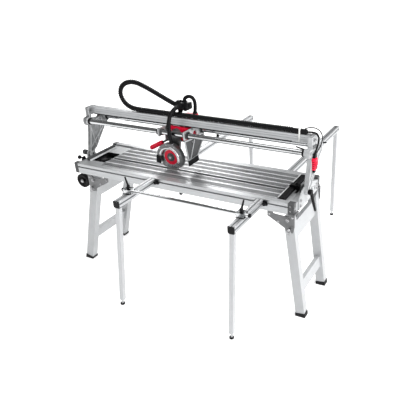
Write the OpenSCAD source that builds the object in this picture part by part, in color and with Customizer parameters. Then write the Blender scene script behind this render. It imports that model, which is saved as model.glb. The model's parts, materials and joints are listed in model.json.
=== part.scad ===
// Bridge tile saw on folding trestles, with side extension arms.
// X runs along the cut, Y from the user's side to the back, Z up; the floor is z = 0.
// Pieces are drawn about the middle of the table, then moved so that the middle of the whole
// footprint is the origin.

/* [Table] */
// Table length along the cut
table_l = 1640; // [1500:10:1700]
// Table depth over both rails
table_w = 450; // [430:5:480]
// Height of the table top above the floor
table_h = 800; // [760:5:840]
// Height of the two long rails
rail_h = 70; // [60:1:80]
// Thickness of each rail, front to back
rail_t = 40; // [36:1:44]

/* [Gantry] */
// Height of the tilt pivot above the floor
pivot_z = 815; // [812:1:820]
// Front-to-back place of the tilt pivot and of the blade
blade_y = -61; // [-63:0.5:-60]
// Top of the bridge beam above the floor
beam_top = 1138; // [1130:1:1150]
// Diameter of the two guide tubes
tube_d = 34; // [30:1:36]

/* [Cutting head] */
// Blade diameter
blade_d = 180; // [170:5:180]
// Blade thickness
blade_t = 2.4; // [2:0.2:3]
// Left-right place of the blade centre with the head parked
blade_x = -112; // [-130:1:-100]
// Height of the blade centre
blade_z = 888; // [886:1:892]

/* [Extension arms] */
// Width and height of an arm profile
arm_w = 40; // [36:1:42]
// Left-right place of the left arms
arm_left_x = -155; // [-200:5:-120]
// Left-right place of the right arms
arm_right_x = 612; // [580:2:630]
// How far the front arms reach from the middle of the table
front_reach = 590; // [560:5:620]
// How far the rear arms reach from the middle of the table
rear_reach = 1200; // [1100:10:1220]

/* [Which piece] */
// Name of the piece to draw, or all

/* [Hidden] */
$fn = 48;
half_l = table_l / 2;
half_w = table_w / 2;
rail_in = half_w - rail_t;
rail_z = table_h - rail_h;
cap_l = 35;
rail_half = half_l - cap_l;
footprint_y = (rear_reach - front_reach) / 2;
plank_l0 = -620;
plank_l1 = 700;
plank_t = 16;
slot_z = table_h - 24;
left_hinge_x = 670;
right_hinge_x = 785;
hinge_z = 692;
foot_x = 870.5;
lock_dx = 15;
leg_w = 60;
leg_d = 50;
leg_y = 190;
support_x0 = 792;
support_x1 = 812;
right_shift = 37;
right_x1 = support_x1 + right_shift;
beam_y0 = 0;
beam_y1 = 40;
beam_h = 45;
beam_bottom = beam_top - beam_h;
front_tube_y = -45;
front_tube_z = 1048;
rear_tube_y = 130;
rear_tube_z = 1035;
tube_r = tube_d / 2;
run = 0.05;
motor_x = -85;
motor_z = 1040;
motor_y0 = -2;
motor_y1 = 108;
stem_r = 7;
snout_r = 19;
arm_y0 = -26;
arm_y1 = -4;
arm_len = sqrt(pow(motor_x - blade_x, 2) + pow(motor_z - blade_z, 2));
arm_turn = atan((motor_x - blade_x) / (motor_z - blade_z));
arbor_r = 8;
guard_r = 98;
leg_top = table_h - 2 - arm_w;
lock_z = 640;
lock_r = 5;
wheel_x = -841;
wheel_y = 145;
wheel_z = 630;
wheel_r = 52;
hose_r = 16.5;
hose_lie_z = beam_top + hose_r + 0.4;
hose_pts = [[-376, 20, hose_lie_z], [-420, 21, 1157], [-465, 23, 1166], [-502, 26, 1186],
  [-527, 30, 1216], [-536, 34, 1252], [-524, 39, 1288], [-492, 44, 1314], [-450, 48, 1325],
  [-405, 52, 1322], [-350, 56, 1303], [-280, 59, 1273], [-200, 60, 1238], [-119, 60, 1205]];
blade_hose_pts = [[-70, 29.4, 1206], [-70, 16, 1206.5], [-73, -10, 1205], [-79, -38, 1192],
  [-85, -62, 1166], [-89, -76, 1132], [-91, -80, 1098], [-91, -81, 1060], [-91, -80, 1030],
  [-90, -74, 1010], [-90, -68, 998], [-90, -66, 987.6]];
motor_cable_pts = [[-56, 70, 1228.4], [-56, 70, 1239], [-46, 72, 1254], [-27, 76, 1263],
  [-7, 81, 1259], [6, 86, 1243], [10, 90, 1215], [8, 90, 1185], [5, 90, 1165], [5, 90, 1152.5]];
switch_cable_pts = [[714, 20, 1152], [760, 20, 1150], [800, 24, 1150], [840, 30, 1149.5],
  [859, 34, 1141], [869, 36, 1120], [869, 30, 1088], [864, 14, 1054], [860, 3, 1032],
  [860, 0, 1020], [860, 0, 1010.3]];

// ---------- helpers ----------
module box(x0, x1, y0, y1, z0, z1) {
  translate([x0, y0, z0]) cube([x1 - x0, y1 - y0, z1 - z0]);
}

// cylinder along X, Y or Z between two ends
module rod_x(x0, x1, y, z, r) {
  translate([x0, y, z]) rotate([0, 90, 0]) cylinder(h = x1 - x0, r = r);
}

module rod_y(y0, y1, x, z, r) {
  translate([x, y1, z]) rotate([90, 0, 0]) cylinder(h = y1 - y0, r = r);
}

module rod_z(z0, z1, x, y, r) {
  translate([x, y, z0]) cylinder(h = z1 - z0, r = r);
}

// plate standing across X, its outline given as [y, z] points
module plate_x(x0, x1, pts) {
  translate([x0, 0, 0]) rotate([90, 0, 90]) linear_extrude(height = x1 - x0) polygon(pts);
}

// plate standing across Y, its outline given as [x, z] points
module plate_y(y0, y1, pts) {
  translate([0, y1, 0]) rotate([90, 0, 0]) linear_extrude(height = y1 - y0) polygon(pts);
}

function unit(v) = v / norm(v);
function way(p, i) = unit(p[min(i + 1, len(p) - 1)] - p[max(i - 1, 0)]);

// closed tube along a list of points
module tube_along(p, r, side, n = 10) {
  ring = [for (i = [0 : len(p) - 1]) let (t = way(p, i), a = unit(cross(t, side)), b = cross(t, a))
    for (k = [0 : n - 1]) p[i] + r * (cos(360 * k / n) * a + sin(360 * k / n) * b)];
  walls = [for (i = [0 : len(p) - 2]) for (k = [0 : n - 1])
    [i * n + k, i * n + (k + 1) % n, (i + 1) * n + (k + 1) % n, (i + 1) * n + k]];
  first = [for (k = [n - 1 : -1 : 0]) k];
  last = [for (k = [0 : n - 1]) (len(p) - 1) * n + k];
  polyhedron(points = ring, faces = concat([first], walls, [last]), convexity = 6);
}

// ---------- table ----------
module rail_section() {
  // the slotted side faces -Y; the section is drawn from the slotted face inwards
  difference() {
    square([rail_t, rail_h]);
    translate([-1, rail_h - 28]) square([7, 8]);
    translate([6, rail_h - 32]) square([8, 16]);
    translate([18, 5]) square([rail_t - 23, rail_h - 10]);
    translate([4, 5]) square([10, rail_h - 42]);
  }
}

module front_rail() {
  color("silver") translate([-rail_half, -half_w, rail_z]) rotate([90, 0, 90])
    linear_extrude(height = 2 * rail_half) rail_section();
}

module rear_rail() {
  color("silver") mirror([0, 1, 0]) translate([-rail_half, -half_w, rail_z]) rotate([90, 0, 90])
    linear_extrude(height = 2 * rail_half) rail_section();
}

module end_beam() {
  difference() {
    box(rail_half, half_l, -rail_in, rail_in, rail_z, table_h - 12);
    box(rail_half + 4, half_l - 4, -rail_in - 1, rail_in + 1, rail_z + 4, table_h - 16);
  }
}

module end_beams() {
  color("silver") {
    end_beam();
    mirror([1, 0, 0]) end_beam();
  }
}

module corner_block() {
  difference() {
    box(rail_half, half_l, -half_w, -rail_in, rail_z, table_h);
    translate([half_l - 6, -half_w - 1, rail_z - 1]) cube([7, 7, rail_h + 2]);
    rod_y(-half_w - 1, -half_w + 6, half_l - 20, table_h - 20, 5);
    rod_y(-half_w - 1, -half_w + 6, half_l - 20, rail_z + 20, 5);
  }
}

module corner_blocks() {
  color("dimgray") for (mx = [0, 1]) for (my = [0, 1])
    mirror([mx, 0, 0]) mirror([0, my, 0]) corner_block();
}

// ribbed top plank between two front-to-back places
module plank(y0, y1) {
  ribs = 5;
  pitch = (y1 - y0 - 2) / ribs;
  difference() {
    box(plank_l0, plank_l1, y0 + 0.5, y1 - 0.5, table_h - plank_t, table_h);
    for (k = [0 : ribs - 1])
      box(plank_l0 - 1, plank_l1 + 1, y0 + 3 + k * pitch, y0 + pitch - 1 + k * pitch,
        table_h - 4, table_h + 1);
    box(plank_l0 - 1, plank_l1 + 1, y0 + 4, y1 - 4, table_h - plank_t - 1, table_h - 8);
  }
}

module table_planks() {
  color("silver") {
    plank(-rail_in + 3, -124);
    plank(-124, blade_y - 4);
    plank(blade_y + 23, 17);
    plank(17, 72);
    plank(72, 127);
    plank(127, rail_in - 3);
  }
}

module plank_bearers() {
  color("gray") for (x = [-560, -180, 220, 640])
    box(x, x + 30, -rail_in + 4, rail_in - 4, rail_z + 5, table_h - plank_t);
}

module water_tray() {
  color("gray") difference() {
    box(-rail_half, rail_half, -rail_in, rail_in, rail_z + 2, table_h - 18);
    box(-rail_half + 3.5, rail_half - 3.5, -rail_in + 3, rail_in - 3, rail_z + 5, table_h);
    rod_z(rail_z, rail_z + 8, 0, -150, 6.3);
  }
}

module tray_covers() {
  color("lightgray") {
    difference() {
      box(-rail_half, plank_l0 - 2, -rail_in, rail_in, table_h - 14, table_h - 10);
      box(-752, -632, -120, 50, table_h - 20, table_h);
    }
    difference() {
      box(plank_l1 + 48, rail_half, -rail_in, rail_in, table_h - 14, table_h - 10);
      box(plank_l1 + 58, rail_half - 10, -60, 60, table_h - 20, table_h);
    }
  }
}

module splash_lip() {
  color([0.1, 0.1, 0.1]) plate_y(-135, 145, [[-777, table_h - 10], [-754, table_h - 10],
    [-754, table_h - 6], [-770, table_h + 10], [-777, table_h + 10]]);
}

module end_strip() {
  color([0.12, 0.12, 0.12]) {
    box(plank_l1 + 2, plank_l1 + 46, -rail_in + 3, rail_in - 3, table_h - plank_t, table_h + 6);
    box(plank_l1 + 10, plank_l1 + 70, -18, 14, table_h + 6, table_h + 16);
    box(plank_l1 + 50, plank_l1 + 70, -18, 14, table_h - 10, table_h + 6);
  }
}

module water_pump() {
  color([0.1, 0.1, 0.1]) union() {
    box(-742, -662, -88, -12, rail_z + 5.2, rail_z + 44);
    rod_z(rail_z + 43, rail_z + 50, -702, -50, 22);
    rod_y(-13, 4, -702, rail_z + 30, 7);
  }
}

module pivot_brackets() {
  base = [[blade_y - 32, table_h - 12], [blade_y + 32, table_h - 12], [blade_y + 20, pivot_z + 18],
    [blade_y - 20, pivot_z + 18]];
  wide = [[-150, rail_z], [-150, table_h - 2], [-96, pivot_z + 22], [-30, pivot_z + 34],
    [70, pivot_z + 10], [160, table_h - 2], [160, rail_z]];
  color("lightgray") {
    mirror([1, 0, 0]) difference() {
      plate_x(rail_half, support_x0 - 0.4, base);
      rod_x(rail_half - 2, support_x0, blade_y, pivot_z, 8);
    }
    mirror([1, 0, 0]) difference() {
      plate_x(support_x1 + 0.4, half_l, base);
      rod_x(support_x1, half_l + 2, blade_y, pivot_z, 8);
    }
    difference() {
      plate_x(half_l + 0.2, half_l + 8, wide);
      rod_x(half_l - 2, half_l + 12, blade_y, pivot_z, 8);
      rod_x(half_l - 2, half_l + 12, 50, 770, 20);
      rod_x(half_l - 2, half_l + 12, 110, 765, 12);
    }
  }
}

module pivot_pins() {
  color("dimgray") {
    rod_x(half_l - 6, right_x1 + 7, blade_y, pivot_z, 8);
    mirror([1, 0, 0]) {
      rod_x(rail_half - 3, half_l + 24, blade_y, pivot_z, 8);
      rod_x(half_l + 24, half_l + 48, blade_y, pivot_z, 18);
    }
    for (x = [-left_hinge_x, right_hinge_x]) for (sy = [-1, 1])
      rod_y(sy * leg_y - 38, sy * leg_y + 38, x, hinge_z, 6);
  }
}

// long outer and short inner cheek on two pads under the rail, right front
module trestle_bracket(hinge) {
  cheek = [[-130, rail_z - 7], [-130, 698], [-14, 632], [-10, 610], [34, 610], [43, 650],
    [43, rail_z - 7], [10, rail_z - 7], [-2, 711], [-92, 717], [-97, rail_z - 7]];
  inner = [[-24, 672], [-14, 666], [22, 666], [36, 690], [43, rail_z - 7], [-24, rail_z - 7]];
  translate([hinge, 0, 0]) {
    difference() {
      plate_y(-leg_y - 34, -leg_y - 26.5, cheek);
      rod_y(-leg_y - 35, -leg_y - 25, 0, hinge_z, 6);
      rod_y(-leg_y - 35, -leg_y - 25, lock_dx, lock_z, lock_r + run);
    }
    difference() {
      plate_y(-leg_y + 26.5, -leg_y + 34, inner);
      rod_y(-leg_y + 25, -leg_y + 35, 0, hinge_z, 6);
    }
    box(-130, -97, -leg_y - 34, -leg_y + 34, rail_z - 7, rail_z - 0.2);
    box(10, 43, -leg_y - 34, -leg_y + 34, rail_z - 7, rail_z - 0.2);
  }
}

module trestle_brackets() {
  color("gray") for (my = [0, 1]) mirror([0, my, 0]) {
    trestle_bracket(right_hinge_x);
    mirror([1, 0, 0]) trestle_bracket(left_hinge_x);
  }
}

module wheel_bracket() {
  arm = [[-half_l - 0.2, rail_z + 50], [-half_l - 0.2, rail_z + 4], [wheel_x + 16, wheel_z - 6],
    [wheel_x + 8, wheel_z - 15], [wheel_x - 8, wheel_z - 15], [wheel_x - 16, wheel_z - 6],
    [-half_l - 10, rail_z + 50]];
  color("gray") {
    for (s = [-1, 1]) difference() {
      plate_y(s * (wheel_y - 24) - 4, s * (wheel_y - 24) + 4, arm);
      rod_y(s * (wheel_y - 24) - 5, s * (wheel_y - 24) + 5, wheel_x, wheel_z, 8);
    }
    rod_y(-wheel_y - 20, wheel_y + 20, wheel_x, wheel_z, 8);
  }
}

module wheel() {
  difference() {
    rod_y(-14, 14, 0, 0, wheel_r);
    rod_y(-15, 15, 0, 0, 8 + run);
    for (s = [0, 1]) mirror([0, s, 0]) rod_y(9, 15, 0, 0, wheel_r - 14);
  }
  difference() {
    rod_y(-14, 14, 0, 0, 15);
    rod_y(-15, 15, 0, 0, 8 + run);
  }
}

module transport_wheels() {
  color([0.1, 0.1, 0.1]) for (s = [-1, 1]) translate([wheel_x, s * wheel_y, wheel_z]) wheel();
}

module drain_tap() {
  color([0.1, 0.1, 0.1]) {
    rod_z(rail_z - 34, rail_z + 14, 0, -150, 6);
    rod_z(rail_z - 52, rail_z - 34, 0, -150, 12);
  }
}

// ---------- trestles ----------
// one leg of the right trestle in its own frame: hinge at the origin, foot straight down
function lean(hinge) = atan((foot_x - hinge) / hinge_z);

function leg_len(hinge) = sqrt(pow(foot_x - hinge, 2) + pow(hinge_z, 2));

module leg_tube(y, hinge) {
  l = leg_len(hinge);
  difference() {
    union() {
      translate([-leg_w / 2, y - leg_d / 2, -l + 12]) cube([leg_w, leg_d, l - 12]);
      rod_y(y - leg_d / 2, y + leg_d / 2, 0, 0, leg_w / 2);
    }
    translate([-leg_w / 2 + 3, y - leg_d / 2 + 3, -l + 11]) cube([leg_w - 6, leg_d - 6, l - 60]);
    rod_y(y - leg_d, y + leg_d, 0, 0, 6 + run);
    rotate([0, lean(hinge), 0]) rod_y(y - leg_d, y, lock_dx, lock_z - hinge_z, lock_r + 1);
  }
}

module trestle_frame(hinge) {
  translate([hinge, 0, hinge_z]) rotate([0, -lean(hinge), 0]) {
    leg_tube(-leg_y, hinge);
    leg_tube(leg_y, hinge);
    translate([-14, -leg_y + leg_d / 2 - 1, -540]) cube([28, 2 * leg_y - leg_d + 2, 76]);
    translate([-14, -leg_y + leg_d / 2 - 1, -150]) cube([28, 2 * leg_y - leg_d + 2, 104]);
  }
}

module trestle_feet(hinge) {
  l = leg_len(hinge);
  intersection() {
    translate([hinge, 0, hinge_z]) rotate([0, -lean(hinge), 0]) for (y = [-leg_y, leg_y])
      difference() {
        translate([-leg_w / 2 - 3, y - leg_d / 2 - 3, -l - 20])
          cube([leg_w + 6, leg_d + 6, 47]);
        translate([-leg_w / 2, y - leg_d / 2, -l + 12]) cube([leg_w, leg_d, 80]);
      }
    box(700, 1000, -400, 400, 0, 200);
  }
}

module left_trestle_frame() {
  color("lightgray") mirror([1, 0, 0]) trestle_frame(left_hinge_x);
}

module left_trestle_feet() {
  color([0.1, 0.1, 0.1]) mirror([1, 0, 0]) trestle_feet(left_hinge_x);
}

module right_trestle_frame() {
  color("lightgray") trestle_frame(right_hinge_x);
}

module right_trestle_feet() {
  color([0.1, 0.1, 0.1]) trestle_feet(right_hinge_x);
}

// spring pin in the front cheek with its pull ring
module lock_pin(x) {
  rod_y(-leg_y - 52, -leg_y - 27, x, lock_z, lock_r);
  rod_y(-leg_y - 60, -leg_y - 51, x, lock_z, 8);
  translate([x, -leg_y - 56, lock_z - 18]) rotate([90, 0, 0]) rotate_extrude()
    translate([13, 0]) circle(r = 2.5);
}

module left_lock_pin() {
  color("dimgray") lock_pin(-left_hinge_x - lock_dx);
}

module right_lock_pin() {
  color("dimgray") lock_pin(right_hinge_x + lock_dx);
}

// ---------- gantry ----------
module gantry_support() {
  outline = [[blade_y - 14, pivot_z], [blade_y - 12, 850], [-44, 960], [-34, 1018], [-66, 1024],
    [-71, 1048], [-66, 1072], [-32, 1078], [-30, beam_top], [46, beam_top], [160, 1064], [160, 1006],
    [120, 984], [-8, 850], [blade_y + 16, pivot_z]];
  window = [[-8, 1084], [50, 1078], [76, 1060], [56, 1048], [-8, 1060]];
  difference() {
    union() {
      plate_x(support_x0, support_x1, outline);
      rod_x(support_x0, support_x1, blade_y, pivot_z, 20);
    }
    plate_x(support_x0 - 1, support_x1 + 1, window);
    rod_x(support_x0 - 1, support_x1 + 1, blade_y, pivot_z, 8 + run);
    rod_x(support_x0 - 1, support_x1 - 6, front_tube_y, front_tube_z, tube_r);
    rod_x(support_x0 - 1, support_x1 - 6, rear_tube_y, rear_tube_z, tube_r);
    box(support_x0 - 1, support_x1 - 6, beam_y0, beam_y1, beam_bottom, beam_top + 1);
  }
}

module left_gantry_support() {
  color("lightgray") mirror([1, 0, 0]) gantry_support();
}

module right_gantry_support() {
  color("lightgray") translate([right_shift, 0, 0]) gantry_support();
}

module gantry_beam() {
  color("silver") translate([6 - support_x1, beam_y0, beam_bottom]) rotate([90, 0, 90])
    linear_extrude(height = 2 * (support_x1 - 6) + right_shift) difference() {
      square([beam_y1 - beam_y0, beam_h]);
      translate([3, 3]) square([beam_y1 - beam_y0 - 6, beam_h - 6]);
      translate([-1, 16]) square([2.5, 3]);
      translate([-1, 30]) square([2.5, 3]);
    }
}

module beam_seal() {
  color([0.1, 0.1, 0.1]) box(-770, 714, beam_y0 + 1, beam_y0 + 17, beam_bottom - 6.5, beam_bottom);
}

module guide_tubes() {
  color("silver") for (p = [[front_tube_y, front_tube_z], [rear_tube_y, rear_tube_z]]) difference() {
    rod_x(6 - support_x1, right_x1 - 6, p[0], p[1], tube_r);
    rod_x(5 - support_x1, right_x1 - 5, p[0], p[1], tube_r - 3);
  }
}

module beam_hose() {
  color([0.1, 0.1, 0.1]) rod_x(-374, 712, 20, hose_lie_z, hose_r);
}

module hose_loop() {
  color([0.1, 0.1, 0.1]) tube_along(hose_pts, hose_r, [0, 1, 0], 12);
}

module switch_box() {
  color("red") difference() {
    union() {
      box(right_x1, right_x1 + 22, -22, 20, 936, 1010);
      box(right_x1 + 22, right_x1 + 26, -18, 16, 940, 1006);
    }
    box(right_x1 + 4, right_x1 + 18, -18, 16, 940, 1006);
    rod_x(right_x1 + 16, right_x1 + 27, -1, 973, 12.4);
  }
}

module power_button() {
  color("darkred") union() {
    rod_x(right_x1 + 12, right_x1 + 31, -1, 973, 12);
    rod_x(right_x1 + 10, right_x1 + 13.5, -1, 973, 15);
  }
}

module switch_cable() {
  color([0.1, 0.1, 0.1]) tube_along(switch_cable_pts, 5.5, [0.3, -1, 0.1], 8);
}

module tilt_lock_lever() {
  color([0.1, 0.1, 0.1]) difference() {
    union() {
      rod_x(right_x1 + 0.4, right_x1 + 25, blade_y, pivot_z, 17);
      translate([right_x1 + 13, blade_y, pivot_z]) rotate([14, 0, 0]) translate([0, 0, -150])
        cylinder(h = 145, r = 8.5);
    }
    rod_x(right_x1, right_x1 + 8, blade_y, pivot_z, 8 + run);
  }
}

// ---------- carriage ----------
module side_plate(x0, x1) {
  outline = [[-76, 1024], [-76, 1076], [158, 1076], [158, 1006], [112, 978], [-4, 978],
    [-4, 1034], [-25, 1034], [-25, 1024]];
  difference() {
    plate_x(x0, x1, outline);
    rod_x(x0 - 1, x1 + 1, front_tube_y, front_tube_z, tube_r + 5);
    rod_x(x0 - 1, x1 + 1, rear_tube_y, rear_tube_z, tube_r + 5);
    rod_x(x0 - 1, x1 + 1, 50, 1030, 22);
  }
}

module carriage_frame() {
  color("lightgray") union() {
    side_plate(-186, -178);
    side_plate(8, 16);
    box(-179, 9, 6, 104, 978, 985);
  }
}

module tube_bushings() {
  color([0.1, 0.1, 0.1]) for (x = [-182, 12])
    for (p = [[front_tube_y, front_tube_z], [rear_tube_y, rear_tube_z]]) difference() {
      rod_x(x - 16, x + 16, p[0], p[1], tube_r + 5);
      rod_x(x - 17, x + 17, p[0], p[1], tube_r + run);
    }
}

module motor_housing() {
  color("red") difference() {
    union() {
      box(-165, -5, motor_y0, motor_y1, 985.2, 1080);
      rod_y(motor_y0 - 7, motor_y0 + 1, motor_x, motor_z, 18);
      box(-62, 20, 52, motor_y1, 1079, 1152);
    }
    rod_y(motor_y0 + 10, motor_y1 - 10, motor_x, motor_z, 38);
    rod_y(motor_y0 - 9, motor_y1 - 4, motor_x, motor_z, 7);
    box(-56, 14, 58, motor_y1 - 6, 1072, 1146);
    for (z = [1000 : 12 : 1060]) box(-12, -4, 20, 92, z, z + 5);
  }
}

module hose_bracket() {
  color([0.1, 0.1, 0.1]) difference() {
    union() {
      box(-104, -84, 56, 68, 1080.2, 1192);
      box(-112, -10, 30, 90, 1184, 1228);
      rod_x(-118, -100, 60, 1205, 22);
      box(-104, -76, 44, 76, 1227, 1238);
    }
    rod_x(-119, -60, 60, 1205, 17);
  }
}

module splash_shield() {
  color("lightgray") plate_x(16.2, 19, [[-76, 1018], [-76, 1000], [-52, 868], [52, 868], [150, 980],
    [150, 1004], [112, 1010], [-8, 1010]]);
  color([0.1, 0.1, 0.1]) box(19.1, 24, -64, 62, 842, 880);
}

module motor_cable() {
  color([0.1, 0.1, 0.1]) tube_along(motor_cable_pts, 12.5, [0.1, 1, 0.1], 8);
}

module motor_rotor() {
  color("gray") difference() {
    union() {
      rod_y(-20, motor_y1 - 5, motor_x, motor_z, 6);
      rod_y(22, 78, motor_x, motor_z, 34);
      rod_y(82, 94, motor_x, motor_z, 16);
      rod_y(-18, -10.5, motor_x, motor_z, 20);
    }
  }
}

// ---------- swinging arm ----------
// the arm's own frame: motor axis at the origin, blade axis straight down
module in_arm() {
  translate([motor_x, 0, motor_z]) rotate([0, arm_turn, 0]) children();
}

module arm_shape(y0, y1, r0, r1, w) {
  rod_y(y0, y1, 0, 0, r0);
  rod_y(y0, y1, 0, -arm_len, r1);
  translate([-w, y0, -arm_len]) cube([2 * w, y1 - y0, arm_len]);
}

module arm_housing() {
  color("gray") in_arm() difference() {
    union() {
      arm_shape(arm_y0 + 3, arm_y1, 31, 40, 36);
      translate([-52, -25, -66]) cube([17, 20, 34]);
    }
    arm_shape(arm_y0 - 1, arm_y1 - 4, 27, 36, 32);
    rod_y(arm_y1 - 5, arm_y1 + 1, 0, 0, 18 + run);
    rod_y(-44, arm_y1 - 2, 0, -arm_len, arbor_r + run);
    stem_place() cylinder(h = 190, r = stem_r);
  }
}

module arm_cover() {
  color("dimgray") in_arm() difference() {
    union() {
      arm_shape(arm_y0, arm_y0 + 3, 31, 40, 34);
      rod_y(-46.5, arm_y0 + 3, 0, -arm_len, snout_r);
    }
    rod_y(-48, arm_y0 + 5, 0, -arm_len, arbor_r + run);
  }
}

module drive_belt() {
  color([0.1, 0.1, 0.1]) in_arm() difference() {
    arm_shape(-17.5, -11, 24, 29, 24);
    arm_shape(-18.5, -10, 21, 26, 21);
  }
}

module blade_guard() {
  color("gray") difference() {
    rod_y(-80, -43.2, blade_x, blade_z, guard_r);
    rod_y(-76.5, -46.5, blade_x, blade_z, guard_r - 4);
    rod_y(-81, -76, blade_x, blade_z, 60);
    rod_y(-47, -43, blade_x, blade_z, snout_r);
    box(blade_x - 130, blade_x + 130, -90, -40, 700, 830);
  }
}

module blade_hose() {
  color([0.1, 0.1, 0.1]) tube_along(blade_hose_pts, 14, [0.2, 1, 0.3], 8);
}

// the stem starts in its boss on the arm's left edge and points left and down
module stem_place() {
  translate([-40, -15, -48]) rotate([0, -128, 0]) children();
}

module handle_stem() {
  color([0.1, 0.1, 0.1]) in_arm() stem_place() cylinder(h = 186, r = stem_r);
}

module handle_grip() {
  color("red") in_arm() stem_place() difference() {
    translate([0, 0, 76]) cylinder(h = 116, r = 16);
    translate([0, 0, 70]) cylinder(h = 116, r = stem_r);
  }
}

module arbor_shaft() {
  color("gray") union() {
    rod_y(-73, -6.6, blade_x, blade_z, arbor_r);
    rod_y(-73, -65.5, blade_x, blade_z, 12);
    rod_y(-18, -10.5, blade_x, blade_z, 25);
  }
}

module blade_flanges() {
  color("dimgray") difference() {
    union() {
      rod_y(blade_y + blade_t / 2, blade_y + blade_t / 2 + 4, blade_x, blade_z, 28);
      rod_y(blade_y - blade_t / 2 - 3.2, blade_y - blade_t / 2, blade_x, blade_z, 28);
    }
    rod_y(blade_y - 20, blade_y + 20, blade_x, blade_z, arbor_r);
  }
}

module saw_blade() {
  color("red") difference() {
    rod_y(blade_y - blade_t / 2, blade_y + blade_t / 2, blade_x, blade_z, blade_d / 2);
    rod_y(blade_y - 5, blade_y + 5, blade_x, blade_z, arbor_r);
    for (a = [0 : 30 : 330]) translate([blade_x, 0, blade_z]) rotate([0, a, 0])
      box(blade_d / 2 - 12, blade_d / 2 + 1, blade_y - 5, blade_y + 5, -1, 1);
  }
}

// ---------- extension arms ----------
// slotted square profile from y = 0 outwards along +Y, top at z = 0, with its rail nut
module ext_profile(l) {
  s = arm_w / 2;
  rotate([90, 0, 180]) translate([0, 0, 0.4]) linear_extrude(height = l) difference() {
    translate([-s, -arm_w]) square([arm_w, arm_w]);
    for (a = [0, 90, 180, 270]) translate([0, -s]) rotate(a) {
      translate([-4, s - 5]) square([8, 6]);
      translate([-8, s - 11]) square([16, 6.01]);
    }
    translate([-6, -s - 6]) square([12, 12]);
  }
  translate([-30, -7, -25.6]) cube([60, 7.6, 7.2]);
  translate([-30, -13.5, -29.6]) cube([60, 7, 15.2]);
  translate([-s - 16, 0.4, -arm_w + 4]) cube([2 * s + 32, 6, arm_w - 12]);
}

module front_arm(x) {
  translate([x, -half_w, table_h - 2]) rotate([0, 0, 180]) ext_profile(front_reach - half_w - 5);
  box(x - arm_w / 2, x + arm_w / 2, -front_reach, -front_reach + 4.6, leg_top, table_h - 2);
}

module front_arms() {
  color("silver") {
    front_arm(arm_left_x);
    front_arm(arm_right_x);
  }
}

// square leg with a levelling foot under the far end of an arm; it may lean to one side
module ext_leg(x, y, foot) {
  tilt = atan((x - foot) / leg_top);
  l = leg_top / cos(tilt);
  intersection() {
    translate([x, y, leg_top]) rotate([0, tilt, 0]) difference() {
      translate([-14, -14, 42 - l]) cube([28, 28, l]);
      translate([-11.5, -11.5, 92 - l]) cube([23, 23, l - 104]);
      translate([0, 0, 40 - l]) cylinder(h = 53, r = 6);
    }
    box(x - 400, x + 400, y - 30, y + 30, 5, leg_top);
  }
  intersection() {
    translate([x, y, leg_top]) rotate([0, tilt, 0]) translate([0, 0, -l - 5])
      cylinder(h = 90, r = 6);
    box(x - 400, x + 400, y - 30, y + 30, 6, 200);
  }
  rod_z(0, 10, foot, y, 14);
}

module front_legs() {
  color("lightgray") {
    ext_leg(arm_left_x, -front_reach + 20, arm_left_x - 110);
    ext_leg(arm_right_x, -front_reach + 20, arm_right_x - 48);
  }
}

module stop_clamp(x) {
  difference() {
    box(x - 26, x + 26, -486, -436, table_h - 1.6, table_h + 28);
    rod_x(x - 30, x + 30, -461, table_h + 13, 11);
  }
}

module stop_bar() {
  color("silver") {
    rod_x(-200, 662, -461, table_h + 13, 11);
    stop_clamp(arm_left_x);
    stop_clamp(arm_right_x);
  }
}

// clamp lever turning about a vertical post, handle pointing along +X
module clamp_lever(l) {
  cylinder(h = 22, r = 10);
  translate([0, 0, 14]) rotate([0, 80, 0]) cylinder(h = l, r = 6);
}

module stop_bar_left_lever() {
  color([0.1, 0.1, 0.1]) translate([arm_left_x, -461, table_h + 28.4]) rotate([0, 0, 138]) clamp_lever(110);
}

module stop_bar_right_lever() {
  color([0.1, 0.1, 0.1]) translate([arm_right_x, -461, table_h + 28.4]) rotate([0, 0, 108]) clamp_lever(90);
}

module rear_arm(x) {
  translate([x, half_w, table_h - 2]) ext_profile(rear_reach - half_w - 5);
  box(x - arm_w / 2, x + arm_w / 2, rear_reach - 4.6, rear_reach, leg_top, table_h - 2);
  ext_leg(x, rear_reach - 20, x);
}

module rear_left_arm() {
  color("silver") rear_arm(arm_left_x);
}

module rear_right_arm() {
  color("silver") rear_arm(arm_right_x);
}

module rear_left_lever() {
  color([0.1, 0.1, 0.1]) translate([arm_left_x, 620, table_h - 1.6]) rotate([0, 0, 130]) clamp_lever(80);
}

module rear_right_lever() {
  color([0.1, 0.1, 0.1]) translate([arm_right_x, 770, table_h - 1.6]) rotate([0, 0, -30]) clamp_lever(95);
}

translate([0, -footprint_y, 0]) {
  front_rail();
  rear_rail();
  end_beams();
  corner_blocks();
  table_planks();
  plank_bearers();
  water_tray();
  tray_covers();
  splash_lip();
  end_strip();
  water_pump();
  pivot_brackets();
  pivot_pins();
  trestle_brackets();
  wheel_bracket();
  transport_wheels();
  drain_tap();
  left_trestle_frame();
  left_trestle_feet();
  right_trestle_frame();
  right_trestle_feet();
  left_lock_pin();
  right_lock_pin();
  left_gantry_support();
  right_gantry_support();
  gantry_beam();
  beam_seal();
  guide_tubes();
  beam_hose();
  hose_loop();
  switch_box();
  power_button();
  switch_cable();
  tilt_lock_lever();
  carriage_frame();
  tube_bushings();
  motor_housing();
  hose_bracket();
  splash_shield();
  motor_cable();
  motor_rotor();
  arm_housing();
  arm_cover();
  drive_belt();
  blade_guard();
  blade_hose();
  handle_stem();
  handle_grip();
  arbor_shaft();
  blade_flanges();
  saw_blade();
  front_arms();
  front_legs();
  stop_bar();
  stop_bar_left_lever();
  stop_bar_right_lever();
  rear_left_arm();
  rear_right_arm();
  rear_left_lever();
  rear_right_lever();
}
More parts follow.
